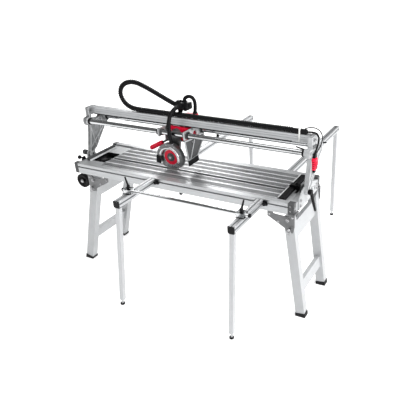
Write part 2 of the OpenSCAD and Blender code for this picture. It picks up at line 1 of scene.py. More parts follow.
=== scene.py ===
"""Bridge tile saw: the looks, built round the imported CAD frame.

Shapes are written in millimetres about the middle of the table, as the CAD source writes them;
at() turns them into metres in the shared frame.
"""
import json
import math

import bmesh
import bpy
from mathutils import Matrix, Vector

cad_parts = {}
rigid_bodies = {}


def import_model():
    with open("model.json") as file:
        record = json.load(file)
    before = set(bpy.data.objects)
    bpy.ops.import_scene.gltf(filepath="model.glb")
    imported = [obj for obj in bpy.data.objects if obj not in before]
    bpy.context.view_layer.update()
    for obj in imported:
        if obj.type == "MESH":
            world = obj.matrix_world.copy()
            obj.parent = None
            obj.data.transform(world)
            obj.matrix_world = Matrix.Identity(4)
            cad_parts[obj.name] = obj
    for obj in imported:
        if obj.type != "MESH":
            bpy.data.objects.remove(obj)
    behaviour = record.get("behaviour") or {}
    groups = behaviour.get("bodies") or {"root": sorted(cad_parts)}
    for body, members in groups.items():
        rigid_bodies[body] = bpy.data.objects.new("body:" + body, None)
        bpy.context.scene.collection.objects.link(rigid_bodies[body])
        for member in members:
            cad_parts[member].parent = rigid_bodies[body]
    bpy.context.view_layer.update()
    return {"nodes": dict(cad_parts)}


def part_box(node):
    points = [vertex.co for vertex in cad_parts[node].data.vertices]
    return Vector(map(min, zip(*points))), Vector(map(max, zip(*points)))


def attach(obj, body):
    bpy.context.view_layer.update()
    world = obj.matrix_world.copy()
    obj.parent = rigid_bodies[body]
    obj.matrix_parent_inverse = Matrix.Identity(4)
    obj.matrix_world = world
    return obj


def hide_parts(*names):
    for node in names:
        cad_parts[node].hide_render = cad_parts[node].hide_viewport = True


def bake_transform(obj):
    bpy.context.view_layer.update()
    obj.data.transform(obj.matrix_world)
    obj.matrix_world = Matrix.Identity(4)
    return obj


for leftover in list(bpy.data.objects):
    bpy.data.objects.remove(leftover)
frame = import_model()
MID_Y = (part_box("front_rail")[0].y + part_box("rear_rail")[1].y) / 2
X, Y, Z = Vector((1, 0, 0)), Vector((0, 1, 0)), Vector((0, 0, 1))


def at(x, y, z):
    """A place given in millimetres about the table's middle, in frame metres."""
    return Vector((x / 1000, y / 1000 + MID_Y, z / 1000))


# ---------- camera ----------
def make_camera(place, yaw, pitch, roll, lens, shift):
    """Camera at place (mm), turned from looking along +Y by yaw and pitch, then rolled."""
    ahead = Vector((-math.sin(yaw) * math.cos(pitch), math.cos(yaw) * math.cos(pitch), math.sin(pitch)))
    side = ahead.cross(Z).normalized()
    up = side.cross(ahead)
    across = math.cos(roll) * side + math.sin(roll) * up
    upward = math.cos(roll) * up - math.sin(roll) * side
    data = bpy.data.cameras.new("Camera")
    data.lens, data.sensor_width = lens, 36
    data.shift_x, data.shift_y = shift
    camera = bpy.data.objects.new("Camera", data)
    bpy.context.scene.collection.objects.link(camera)
    turn = Matrix((across, upward, -ahead)).transposed().to_4x4()
    camera.matrix_world = Matrix.Translation(at(*place)) @ turn
    bpy.context.scene.camera = camera


make_camera((1799.1, -2642.6, 2136.4), yaw=0.4558, pitch=-0.4974, roll=-0.0251,
            lens=46.28, shift=(-0.1526, 0.0436))


# ---------- materials ----------
def surface(name, colour, rough, metal=0.0, grain=(60, 60, 60), spread=0.12, bump=0.12,
            fine=900.0, patch=7.0, specular=0.5):
    """Principled material: soft patches, a grain stretched along an axis and a fine texture in the gloss."""
    m = bpy.data.materials.new(name)
    m.use_nodes = True
    n, link = m.node_tree.nodes, m.node_tree.links.new
    shader = n["Principled BSDF"]
    shader.inputs["Metallic"].default_value = metal
    shader.inputs["Specular IOR Level"].default_value = specular
    place = n.new("ShaderNodeTexCoord")

    def noise(scale, stretch, detail):
        size = n.new("ShaderNodeMapping")
        size.inputs["Scale"].default_value = stretch
        link(place.outputs["Object"], size.inputs["Vector"])
        tex = n.new("ShaderNodeTexNoise")
        tex.inputs["Scale"].default_value = scale
        tex.inputs["Detail"].default_value = detail
        link(size.outputs["Vector"], tex.inputs["Vector"])
        return tex.outputs["Fac"]

    streak = noise(1.0, grain, 3.0)
    cloud = noise(patch, (1, 1, 1), 2.0)
    speck = noise(fine, (1, 1, 1), 1.0)
    both = n.new("ShaderNodeMath")
    both.operation = "MULTIPLY_ADD"
    link(streak, both.inputs[0])
    both.inputs[1].default_value = 0.6
    half = n.new("ShaderNodeMath")
    half.operation = "MULTIPLY"
    link(cloud, half.inputs[0])
    half.inputs[1].default_value = 0.4
    link(half.outputs[0], both.inputs[2])
    ramp = n.new("ShaderNodeValToRGB")
    dark = [c * (1 - spread) for c in colour]
    light = [min(1.0, c * (1 + spread)) for c in colour]
    ramp.color_ramp.elements[0].position, ramp.color_ramp.elements[1].position = 0.35, 0.65
    ramp.color_ramp.elements[0].color = (*dark, 1)
    ramp.color_ramp.elements[1].color = (*light, 1)
    link(both.outputs[0], ramp.inputs["Fac"])
    link(ramp.outputs["Color"], shader.inputs["Base Color"])
    gloss = n.new("ShaderNodeMapRange")
    gloss.inputs["From Min"].default_value, gloss.inputs["From Max"].default_value = 0.3, 0.7
    gloss.inputs["To Min"].default_value = max(0.03, rough - 0.08)
    gloss.inputs["To Max"].default_value = min(1.0, rough + 0.1)
    link(both.outputs[0], gloss.inputs["Value"])
    link(gloss.outputs["Result"], shader.inputs["Roughness"])
    height = n.new("ShaderNodeBump")
    height.inputs["Strength"].default_value = bump
    height.inputs["Distance"].default_value = 0.0006
    add = n.new("ShaderNodeMath")
    add.operation = "MULTIPLY_ADD"
    link(speck, add.inputs[0])
    add.inputs[1].default_value = 0.5
    link(streak, add.inputs[2])
    link(add.outputs[0], height.inputs["Height"])
    link(height.outputs["Normal"], shader.inputs["Normal"])
    return m


SILVER = (0.47, 0.48, 0.49)
ALU_X = surface("extruded_along_x", SILVER, 0.34, 0.55, (2, 260, 260), 0.12, 0.15)
ALU_Y = surface("extruded_along_y", SILVER, 0.34, 0.55, (260, 2, 260), 0.12, 0.15)
ALU_Z = surface("extruded_along_z", (0.50, 0.51, 0.52), 0.4, 0.4, (260, 260, 2), 0.08, 0.12)
PLANK = surface("ribbed_plank", (0.36, 0.365, 0.375), 0.3, 0.6, (3, 300, 300), 0.2, 0.2)
# Much lighter than the plank silver: a painted highlight for raised edges (plank beads, splash lip flange,
# end strip edge).
EDGE_HIGHLIGHT_SILVER = surface("edge_painted_highlight", (0.80, 0.81, 0.82), 0.35, 0.6, (3, 200, 200), 0.06, 0.1)
CAST = surface("cast_light", (0.50, 0.51, 0.52), 0.42, 0.45, (90, 90, 90), 0.12, 0.35, 600)
CAST_DARK = surface("cast_dark", (0.075, 0.077, 0.08), 0.5, 0.3, (80, 80, 80), 0.2, 0.3, 500)
STEEL_BRIGHT = surface("polished_ring", (0.6, 0.6, 0.61), 0.22, 0.9, (60, 60, 60), 0.1, 0.08)
# Darker copy of the light casting, as painted shade: the left gantry support's inner side faces away from the
# light.
CAST_PAINTED_SHADE = surface("cast_painted_shade", (0.24, 0.245, 0.25), 0.4, 0.6, (60, 60, 60), 0.25, 0.4, 400, 30)
STEEL = surface("turned_steel", (0.42, 0.42, 0.43), 0.28, 0.95, (200, 200, 200), 0.12, 0.1)
ZINC = surface("zinc_sheet", (0.26, 0.265, 0.27), 0.45, 0.75, (20, 20, 20), 0.25, 0.1, 300, 25)
CHROME = surface("drawn_tube", (0.62, 0.63, 0.64), 0.12, 1.0, (3, 200, 200), 0.06, 0.04)
PAINT = surface("leg_paint", (0.45, 0.46, 0.47), 0.42, 0.1, (14, 14, 14), 0.05, 0.25, 700)
BRACKET = surface("bracket_paint", (0.17, 0.172, 0.176), 0.42, 0.4, (20, 20, 20), 0.14, 0.25, 700)
BLACK = surface("black_plastic", (0.005, 0.005, 0.006), 0.4, 0.0, (60, 60, 60), 0.25, 0.3, 1400,
                specular=0.15)
RUBBER = surface("black_rubber", (0.007, 0.007, 0.008), 0.6, 0.0, (50, 50, 50), 0.3, 0.4, 900, specular=0.2)
HOSE = surface("corrugated_hose", (0.004, 0.004, 0.005), 0.3, 0.0, (80, 80, 80), 0.25, 0.15, 1200,
               specular=0.15)
RED = surface("red_plastic", (0.90, 0.004, 0.045), 0.34, 0.0, (40, 40, 40), 0.1, 0.2, 1500, specular=0.35)
RED_METAL = surface("red_painted_steel", (0.86, 0.004, 0.04), 0.36, 0.1, (60, 60, 60), 0.12, 0.1,
                    specular=0.3)
HEAD_GREY = surface("head_casting", (0.16, 0.163, 0.167), 0.4, 0.7, (70, 70, 70), 0.12, 0.35, 500)
WHITE = surface("white_nylon", (0.80, 0.80, 0.78), 0.5, 0.0, (50, 50, 50), 0.04, 0.1)
GRIT = surface("diamond_rim", (0.40, 0.39, 0.38), 0.6, 0.6, (300, 300, 300), 0.3, 0.7, 1500)


# ---------- shapes ----------
class Shape:
    """Gathers solids in millimetres, then becomes one named piece."""

    def __init__(self):
        self.bm = bmesh.new()

    def faces(self, points, faces):
        made = [self.bm.verts.new(at(*p)) for p in points]
        for f in faces:
            self.bm.faces.new([made[i] for i in f])
        return self

    def rings(self, loops):
        """Skin over rings with the same number of points, with both ends closed."""
        n = len(loops[0])
        faces = [(i * n + k, i * n + (k + 1) % n, (i + 1) * n + (k + 1) % n, (i + 1) * n + k)
                 for i in range(len(loops) - 1) for k in range(n)]
        faces.append(tuple(range(n - 1, -1, -1)))
        faces.append(tuple((len(loops) - 1) * n + k for k in range(n)))
        return self.faces([p for loop in loops for p in loop], faces)

    def turned(self, profile, start, axis, n=28):
        """Solid of revolution: profile of (radius, distance along axis) from start."""
        axis = Vector(axis).normalized()
        a = axis.orthogonal().normalized()
        b = axis.cross(a)
        start = Vector(start)
        loops = []
        for r, h in profile:
            r = max(r, 0.02)
            loops.append([start + axis * h + r * (math.cos(t) * a + math.sin(t) * b)
                          for t in (2 * math.pi * k / n for k in range(n))])
        return self.rings(loops)

    def ring(self, inner, outer, h0, h1, start, axis, n=36, soft=0.6):
        """Flat ring with a hole, its edges eased by soft."""
        axis = Vector(axis).normalized()
        a = axis.orthogonal().normalized()
        b = axis.cross(a)
        start = Vector(start)
        section = [(inner + soft, h0), (outer - soft, h0), (outer, h0 + soft), (outer, h1 - soft),
                   (outer - soft, h1), (inner + soft, h1), (inner, h1 - soft), (inner, h0 + soft)]
        points = [start + axis * h + r * (math.cos(t) * a + math.sin(t) * b)
                  for t in (2 * math.pi * k / n for k in range(n)) for r, h in section]
        m = len(section)
        return self.faces(points, [(i * m + k, i * m + (k + 1) % m, ((i + 1) % n) * m + (k + 1) % m,
                                    ((i + 1) % n) * m + k) for i in range(n) for k in range(m)])

    def tube(self, points, radius, n=12):
        """Tube along points; radius is a number, or one for each point."""
        points = [Vector(p) for p in points]
        radii = radius if isinstance(radius, list) else [radius] * len(points)
        side, loops = None, []
        for i, p in enumerate(points):
            way = (points[min(i + 1, len(points) - 1)] - points[max(i - 1, 0)]).normalized()
            side = way.orthogonal() if side is None else side
            side = (side - way * side.dot(way)).normalized()
            other = way.cross(side)
            loops.append([p + radii[i] * (math.cos(t) * side + math.sin(t) * other)
                          for t in (2 * math.pi * k / n for k in range(n))])
        return self.rings(loops)

    def block(self, x0, x1, y0, y1, z0, z1):
        return self.rings([[(x, y0, z0), (x, y1, z0), (x, y1, z1), (x, y0, z1)] for x in (x0, x1)])

    def prism(self, outline, axis, a, b):
        """Outline swept along an axis from a to b: (y, z) pairs along x, (x, z) along y, (x, y) along z."""
        def place(p, h):
            return {"x": (h, p[0], p[1]), "y": (p[0], h, p[1]), "z": (p[0], p[1], h)}[axis]
        return self.rings([[place(p, h) for p in outline] for h in (a, b)])

    def bolt(self, place, axis, r=6.0, head=5.0):
        """Socket-head screw with a washer under it."""
        self.turned([(r * 1.5, 0), (r * 1.5, 1.2), (r, 1.3)], place, axis, 20)
        return self.turned([(r, 1.2), (r, head), (r - 0.8, head + 1.2), (r * 0.55, head + 1.2),
                            (r * 0.5, head - 2)], place, axis, 18)

    def piece(self, name, body, material, bevel=0.0, replaces="", smooth=32):
        mesh = bpy.data.meshes.new(name)
        bmesh.ops.recalc_face_normals(self.bm, faces=self.bm.faces)
        for f in self.bm.faces:
            f.smooth = True
        self.bm.to_mesh(mesh)
        self.bm.free()
        mesh.set_sharp_from_angle(angle=math.radians(smooth))
        mesh.materials.append(material)
        o = bpy.data.objects.new(name, mesh)
        bpy.context.scene.collection.objects.link(o)
        if bevel:
            round_off = o.modifiers.new("Eased_edges", "BEVEL")
            round_off.width = bevel / 1000
            round_off.segments = 2
            round_off.limit_method = "ANGLE"
            round_off.angle_limit = math.radians(38)
        if body:
            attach(o, body)
        if replaces:
            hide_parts(replaces)
        return o


def turn(p, centre, degrees):
    """(x, z) pair turned about centre, clockwise as seen from the front."""
    a = math.radians(degrees)
    x, z = p[0] - centre[0], p[1] - centre[1]
    return (centre[0] + x * math.cos(a) + z * math.sin(a), centre[1] - x * math.sin(a) + z * math.cos(a))


def arc(cx, cy, r, a0, a1, n):
    """Points on a circle from angle a0 to a1 in degrees."""
    steps = [math.radians(a0 + (a1 - a0) * k / n) for k in range(n + 1)]
    return [(cx + r * math.cos(t), cy + r * math.sin(t)) for t in steps]


def smooth_path(points, step):
    """Evenly spaced points on a Catmull-Rom curve through the given ones."""
    p = [Vector(q) for q in points]
    p = [2 * p[0] - p[1]] + p + [2 * p[-1] - p[-2]]
    fine = []
    for i in range(1, len(p) - 2):
        for k in range(24):
            t = k / 24
            fine.append(0.5 * (2 * p[i] + (p[i + 1] - p[i - 1]) * t
                               + (2 * p[i - 1] - 5 * p[i] + 4 * p[i + 1] - p[i + 2]) * t ** 2
                               + (3 * p[i] - p[i - 1] - 3 * p[i + 1] + p[i + 2]) * t ** 3))
    fine.append(p[-2])
    total = sum((b - a).length for a, b in zip(fine, fine[1:]))
    count = max(2, round(total / step))
    out, i, gone = [fine[0]], 0, 0.0
    for k in range(1, count):
        want = total * k / count
        while gone + (fine[i + 1] - fine[i]).length < want:
            gone += (fine[i + 1] - fine[i]).length
            i += 1
        out.append(fine[i].lerp(fine[i + 1], (want - gone) / (fine[i + 1] - fine[i]).length))
    return out + [fine[-1]]


def corrugated(shape, path, crest, valley, n=16):
    """Ribbed hose: rings in fours, two at the crest and two in the valley."""
    radii = [crest if k % 4 in (1, 2) else valley for k in range(len(path))]
    return shape.tube(path, radii, n)


# ---------- hoses and cables ----------
HOSE_R = 16.5
BEAM_TOP = 1138
BEAM_HOSE_Z = BEAM_TOP + HOSE_R + 0.4
BEAM_HOSE_ENDS = (712, -375)
CABLE_R, BLADE_HOSE_R = 12.5, 14
loop_route = [(-376, 20, BEAM_HOSE_Z), (-420, 21, 1157), (-465, 23, 1166), (-502, 26, 1186),
              (-527, 30, 1216), (-536, 34, 1252), (-524, 39, 1288), (-492, 44, 1314), (-450, 48, 1325),
              (-405, 52, 1322), (-350, 56, 1303), (-280, 59, 1273), (-200, 60, 1238), (-119, 60, 1205)]
blade_hose_route = [(-70, 29.4, 1206), (-70, 16, 1206.5), (-73, -10, 1205), (-79, -38, 1192),
                    (-85, -62, 1166), (-89, -76, 1132), (-91, -80, 1098), (-91, -81, 1060),
                    (-91, -80, 1030), (-90, -74, 1010), (-90, -68, 998), (-90, -66, 987.6)]
motor_cable_route = [(-56, 70, 1228.4), (-56, 70, 1239), (-46, 72, 1254), (-27, 76, 1263),
                     (-7, 81, 1259), (6, 86, 1243), (10, 90, 1215), (8, 90, 1185), (5, 90, 1165),
                     (5, 90, 1152.5)]
switch_cable_route = [(714, 20, 1152), (760, 20, 1150), (800, 24, 1150), (840, 30, 1149.5),
                      (859, 34, 1141), (869, 36, 1120), (869, 30, 1088), (864, 14, 1054),
                      (860, 3, 1032), (860, 0, 1020), (860, 0, 1010.3)]

path = smooth_path(loop_route, 3.3)
hose_loop = corrugated(Shape(), path, HOSE_R, 13.0, 18).piece(
    "Loop_hose", "carriage", HOSE, replaces="hose_loop", smooth=60)

right_end, left_end = [(x, 20, BEAM_HOSE_Z) for x in BEAM_HOSE_ENDS]
path = smooth_path([right_end, (169, 20, BEAM_HOSE_Z), left_end], 3.6)
beam_hose = corrugated(Shape(), path, HOSE_R, 12.6, 14).piece(
    "Beam_hose", None, HOSE, replaces="beam_hose", smooth=60)
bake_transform(beam_hose)

path = smooth_path(blade_hose_route, 2.8)
blade_hose = corrugated(Shape(), path, BLADE_HOSE_R, 12, 18).piece(
    "Blade_water_hose", None, HOSE, replaces="blade_hose", smooth=60)
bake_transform(blade_hose)

path = smooth_path(motor_cable_route, 2.8)
motor_cable = corrugated(Shape(), path, CABLE_R, 10.8, 18).piece(
    "Motor_cable", "carriage", HOSE, replaces="motor_cable", smooth=60)

path = smooth_path(switch_cable_route, 4)
switch_cable = Shape().tube(path, 5.5, 14).piece(
    "Switch_cable", "gantry", RUBBER, replaces="switch_cable", smooth=60)

# ---------- hose ends and ties ----------
Shape().turned([(17, 0), (22, 1), (22, 9), (19.5, 10), (19.5, 14), (22, 15), (22, 19), (17.5, 20)],
               (-119.5, 60, 1205), X, 26).piece("Hose_collar_nut", "carriage", BLACK, 0.8)
block = Shape()
block.prism([(34, 1184), (86, 1184), (90, 1188), (90, 1222), (84, 1228), (36, 1228), (30, 1222), (30, 1188)],
            "x", -99, -12)
block.prism([(44, 1227), (76, 1227), (74, 1238), (46, 1238)], "x", -103, -77)
block.prism([(34, 1227), (52, 1227), (50, 1232), (36, 1232)], "x", -36, -16)
block.block(-104, -84, 56, 68, 1080.2, 1190)
block.prism([(-104, 1140), (-84, 1140), (-58, 1186), (-104, 1186)], "y", 60, 64)
block.piece("Hose_bracket_body", "carriage", BLACK, 2.2, replaces="hose_bracket")
fittings = Shape()
for x in (-92, -18):
    fittings.turned([(7, 0), (7, 3), (5, 4), (3, 3)], (x, 30, 1215), -Y, 16)
    fittings.turned([(7, 0), (7, 3), (5, 4), (3, 3)], (x, 30, 1197), -Y, 16)
fittings.turned([(18, 0), (18, 5), (16, 6), (16, 9), (14.3, 10)], (-70, 31, 1206), -Y, 20)
fittings.turned([(17, 0), (17, 5), (15, 6), (15, 9), (13, 10)], (-56, 70, 1227), Z, 20)
fittings.ring(11, 17, 0, 9, (-26, 31, 1198), -Y, 26, 1.5)
fittings.turned([(12, 0), (12, 3), (9, 4), (1, 4)], (-12, 60, 1206), X, 20)
fittings.piece("Hose_bracket_fittings", "carriage", BLACK, 0.5)
Shape().turned([(17, 0), (17, 5), (15, 6), (15, 10), (13, 11)], (5, 90, 1151.6), Z, 20
               ).piece("Motor_cable_gland", "carriage", BLACK, 0.5)
tie = Shape()
tie.prism([(-2, 1091), (43, 1091), (43, 1172), (-2, 1172)], "x", 757, 765)
tie.prism([(-5, 1120), (-2, 1120), (-2, 1132), (-5, 1132)], "x", 755, 767)
tie.piece("Cable_tie", "gantry", WHITE, 1.5)
end_cover = Shape()
end_cover.prism([(6, 1138.2), (34, 1138.2), (33, 1160), (26, 1166), (14, 1166), (7, 1160)], "x", 712, 804)
end_cover.piece("Hose_end_cover", "gantry", BLACK, 2.0)
plug = Shape()
plug.turned([(8, 0), (10, 2), (10, 12), (8, 15), (6.8, 22), (6, 26)], (860, 0, 1010.2), Z, 22)
plug.piece("Switch_cable_gland", "gantry", BLACK, 0.6)

# ---------- motor ----------
AXIS_X, AXIS_Z = -85, 1040


def rounded_case(y0, y1, z0, z1, r):
    """Case outline across X with rounded corners, as (y, z) points."""
    corners = [(y1 - r, z1 - r, 0), (y0 + r, z1 - r, 90), (y0 + r, z0 + r, 180), (y1 - r, z0 + r, 270)]
    return [q for cy, cz, a in corners for q in arc(cy, cz, r, a, a + 90, 6)]


motor = Shape()
outline = rounded_case(-2, 108, 985.2, 1080, 16)
motor.prism(outline, "x", -163, -44)
slim = rounded_case(1, 105, 988.2, 1077, 14)
motor.prism(slim, "x", -45, -8)
for k in range(5):
    motor.prism(outline, "x", -40 + 7.4 * k, -36.4 + 7.4 * k)
motor.prism(outline, "x", -9, -5)
for z in (1004, 1016, 1028, 1040, 1052, 1064):
    motor.block(-158, -52, -3.6, 0, z - 1.6, z + 1.6)
motor.turned([(19, 0), (19, 1), (17.5, 1.5), (17.5, 7)], (AXIS_X, -2, AXIS_Z), -Y, 26)
motor.piece("Motor_cover", "carriage", RED, 1.2, replaces="motor_housing")
ends = Shape()
ends.prism(rounded_case(4, 102, 991, 1074, 12), "x", -165, -162.8)
for a in range(0, 360, 60):
    y, z = arc(53, 1033, 34, a, a, 1)[0]
    ends.turned([(4.2, 0), (4.2, 2), (3, 2.4), (2.4, 1)], (-165, y, z), -X, 12)
ends.ring(12, 30, 0, 2.5, (-165, 53, 1033), -X, 30, 0.8)
ends.piece("Motor_end_plate", "carriage", BLACK, 0.6)
terminal = Shape()
terminal.prism([(54, 1079), (106, 1079), (108, 1084), (108, 1146), (102, 1152), (58, 1152), (52, 1146),
                (52, 1084)], "x", -60, 18)
terminal.prism([(58, 1088), (102, 1088), (102, 1144), (98, 1148), (62, 1148), (58, 1144)], "x", 17, 20)
terminal.prism([(-50, 1092), (8, 1092), (8, 1142), (-50, 1142)], "y", 50.6, 53)
terminal.piece("Motor_terminal_box", "carriage", RED, 2.0)

# ---------- swinging arm, guard and blade ----------
BLADE_X, BLADE_Y, BLADE_Z = -112, -61, 888
ARM_TURN = math.degrees(math.atan2(AXIS_X - BLADE_X, AXIS_Z - BLADE_Z))


def in_arm(x, z):
    """(x, z) in the arm's own frame, motor axis at the origin, as table millimetres."""
    return turn((AXIS_X + x, AXIS_Z + z), (AXIS_X, AXIS_Z), ARM_TURN)


cover = Shape()
ARM_LEN = math.hypot(AXIS_X - BLADE_X, AXIS_Z - BLADE_Z)
for side in (-1, 1):
    for r0, r1 in ((27, 30), (19, 21)):
        line = [in_arm(side * r0, -6), in_arm(side * r1, -6), in_arm(side * (r1 - 2), -ARM_LEN + 44),
                in_arm(side * (r0 - 2), -ARM_LEN + 44)]
        cover.prism(line, "y", -27.8, -25)
cover.turned([(30, 0), (30, 1.6), (27, 2.4), (16, 2.4), (14, 1.2), (6, 1.2), (5, 2.6), (0.5, 2.6)],
             (AXIS_X, -25.5, AXIS_Z), -Y, 32)
cover.piece("Arm_cover_ribs", "arm", HEAD_GREY, 0.5)
screws = Shape()
for x, z in ((-34, 18), (34, 18), (-31, -50), (31, -50), (-29, -100), (29, -100)):
    px, pz = in_arm(x, z)
    screws.turned([(4, 0), (4, 1.6), (3, 2.4), (2.2, 1.2)], (px, -25.6, pz), -Y, 12)
screws.piece("Arm_cover_screws", "arm", STEEL, 0.3)

GUARD_R = 98
guard = Shape()
LOW = BLADE_Z - 56


def guard_plate(shape, hole, y0, y1):
    """Guard cheek with a round window, open at the bottom."""
    outer = [(x, max(z, LOW)) for x, z in arc(BLADE_X, BLADE_Z, GUARD_R, -32, 176, 56)]
    inner = [(BLADE_X + hole * math.cos(t), max(BLADE_Z + hole * math.sin(t), LOW))
             for t in (math.atan2(z - BLADE_Z, x - BLADE_X) for x, z in outer)]
    n = len(outer)
    points = [(x, y, z) for y in (y0, y1) for ring in (outer, inner) for x, z in ring]
    faces = []
    for k in range(n - 1):
        faces += [(k, k + 1, n + k + 1, n + k), (2 * n + k, 3 * n + k, 3 * n + k + 1, 2 * n + k + 1),
                  (k, 2 * n + k, 2 * n + k + 1, k + 1), (n + k, n + k + 1, 3 * n + k + 1, 3 * n + k)]
    faces += [(0, n, 3 * n, 2 * n), (n - 1, 3 * n - 1, 4 * n - 1, 2 * n - 1)]
    shape.faces(points, faces)


guard_plate(guard, 60, -80, -77)
guard_plate(guard, 24, -46.2, -43.4)
guard_plate(guard, GUARD_R - 4, -78, -45)
guard.piece("Blade_guard_shell", "arm", HEAD_GREY, 0.9, replaces="blade_guard")
rim = Shape()
line = [(x, -79.5, z) for x, z in arc(BLADE_X, BLADE_Z, 70, -24, 172, 44)]
rim.tube(line, [3] + [9.5] * (len(line) - 2) + [3], 14)
rim.piece("Guard_bright_ring", "arm", STEEL_BRIGHT, 0.0, smooth=60)
more = Shape()
for a in (20, 60, 100, 140, 180):
    x, z = arc(BLADE_X, BLADE_Z, 89, a, a, 1)[0]
    more.turned([(4.5, 0), (4.5, 2), (3.2, 3), (2.4, 1.6)], (x, -79.8, z), -Y, 14)
more.turned([(11, 0), (11, 9), (9.4, 11)], (BLADE_X + 22, -65, BLADE_Z + GUARD_R - 6), Z, 20)
more.piece("Guard_screws_and_inlet", "arm", STEEL, 0.3)
flap = Shape()
flap.prism([(-212, 896), (-205, 899), (-203, 880), (-204.5, 852), (-214, 846)], "y", -84, -40)
for y0, y1 in ((-84, -79), (-45, -40)):
    flap.prism([(-212, 896), (-205, 899), (-186, 890), (-176, 862), (-182, 842), (-214, 846)], "y", y0, y1)
for k in range(4):
    flap.block(-216, -212, -84.6, -39.6, 850 + 11 * k, 854 + 11 * k)
flap.piece("Guard_rubber_flap", "arm", RUBBER, 0.8)

blade = Shape()
CORE_R, RIM_R, SLOTS = 51, 89.5, 12
blade.turned([(CORE_R, -1.05), (CORE_R, 1.05)], (BLADE_X, BLADE_Y, BLADE_Z), Y, 64)
blade.piece("Blade_red_core", "blade", RED_METAL, 0.0)
plate = Shape()
plate.ring(CORE_R - 1, 82, -0.9, 0.9, (BLADE_X, BLADE_Y, BLADE_Z), Y, 72, 0.2)
plate.piece("Blade_steel_plate", "blade", STEEL, 0.0)
rim = Shape()
for k in range(SLOTS):
    a0, a1 = 360 / SLOTS * k + 1.1, 360 / SLOTS * (k + 1) - 1.1
    line = arc(BLADE_X, BLADE_Z, RIM_R, a0, a1, 6) + arc(BLADE_X, BLADE_Z, 80.5, a1, a0, 6)
    rim.prism(line, "y", BLADE_Y - 1.2, BLADE_Y + 1.2)
rim.piece("Blade_diamond_segments", "blade", GRIT, 0.2, replaces="saw_blade")
flange = Shape()
blade_front = (BLADE_X, BLADE_Y - 1.3, BLADE_Z)
flange.turned([(29, 0), (29, 2), (24, 3.2), (19, 3.2)], blade_front, -Y, 36)
flange.turned([(12, 3), (12, 11), (10, 12.4), (8, 12.4), (8, 10), (1, 10)], blade_front, -Y, 6)
flange.turned([(29, 0), (29, 2.6), (22, 4)], (BLADE_X, BLADE_Y + 1.3, BLADE_Z), Y, 36)
flange.piece("Blade_flange_and_nut", "blade", CAST_DARK, 0.5, replaces="blade_flanges")

# ---------- handle ----------
STEM_LEN, STEM_ANGLE = 192, math.radians(128)
STEM_FROM = in_arm(-40, -48)
STEM_TO = in_arm(-40 - STEM_LEN * math.sin(STEM_ANGLE), -48 + STEM_LEN * math.cos(STEM_ANGLE))
stem_way = Vector((STEM_TO[0] - STEM_FROM[0], 0, STEM_TO[1] - STEM_FROM[1])).normalized()
stem_start = Vector((STEM_FROM[0], -15, STEM_FROM[1]))
Shape().turned([(7, 0), (7, 80), (6.2, 82)], stem_start, stem_way, 18).turned(
    [(9.5, 6), (9.5, 12), (9, 16), (8, 24)], stem_start, stem_way, 20).piece(
    "Handle_rod", "arm", BLACK, 0.0, replaces="handle_stem")
grip = [(9, 74), (13.5, 76), (14.5, 80), (12.6, 86)]
for k in range(9):
    grip += [(15.6, 90 + 9 * k), (15.6, 94 + 9 * k), (13.8, 96 + 9 * k), (13.8, 97.5 + 9 * k)]
grip += [(15.8, 172), (15.8, 182), (13.5, 189), (8, 191.8), (1, 192)]
Shape().turned(grip, stem_start, stem_way, 28).piece(
    "Handle_grip_sleeve", "arm", RED, 0.0, replaces="handle_grip", smooth=50)

# ---------- carriage sides ----------
TUBES = ((-45, 1048), (130, 1035))
shield = Shape()
shield.prism([(-62, 880), (60, 880), (60, 842), (-60, 842)], "x", 19.2, 23.8)
for k in range(9):
    shield.block(23, 24.6, -56 + 13.4 * k, -52 + 13.4 * k, 844, 878)
shield.piece("Splash_rubber", "carriage", RUBBER, 0.6)
frame_side = Shape()
panel = [(-76, 1018), (-76, 1000), (-52, 876), (52, 876), (150, 980), (150, 1004), (112, 1010), (-8, 1010)]


def bar(shape, a, b, half, x0, x1):
    """Flat bar between two (y, z) points."""
    d = Vector((b[0] - a[0], b[1] - a[1])).normalized()
    s = Vector((-d.y, d.x)) * half
    shape.prism([(a[0] + s.x, a[1] + s.y), (b[0] + s.x, b[1] + s.y), (b[0] - s.x, b[1] - s.y),
                 (a[0] - s.x, a[1] - s.y)], "x", x0, x1)


for a, b in zip(panel, panel[1:] + panel[:1]):
    bar(frame_side, a, b, 5.5, 16.2, 22)
bar(frame_side, (-30, 878), (40, 1008), 4, 16.4, 21)
frame_side.piece("Shield_frame_bars", "carriage", CAST, 1.0, replaces="splash_shield")
sheet = Shape()
sheet.prism([(y * 0.97 + 1, z * 0.97 + 28) for y, z in panel], "x", 16.4, 17.6)
sheet.piece("Shield_inner_sheet", "carriage", CAST_DARK, 0.3)
bolts = Shape()
CARRIAGE_BOLTS = ((-66, 1068), (-24, 1068), (20, 1068), (80, 1068), (148, 1066), (150, 1014), (100, 990),
                  (10, 988))
for x, out in ((-186, -X), (16.2, X)):
    for y, z in CARRIAGE_BOLTS:
        bolts.bolt((x, y, z), out, 5, 4)
bolts.piece("Carriage_bolts", "carriage", STEEL, 0.3)
collars = Shape()
for y, z in TUBES:
    for x, out in ((-198, -X), (28, X)):
        collars.ring(17.3, 24, 0, 4, (x, y, z), out, 32, 0.8)
collars.piece("Bushing_end_rings", "carriage", BLACK, 0.0)

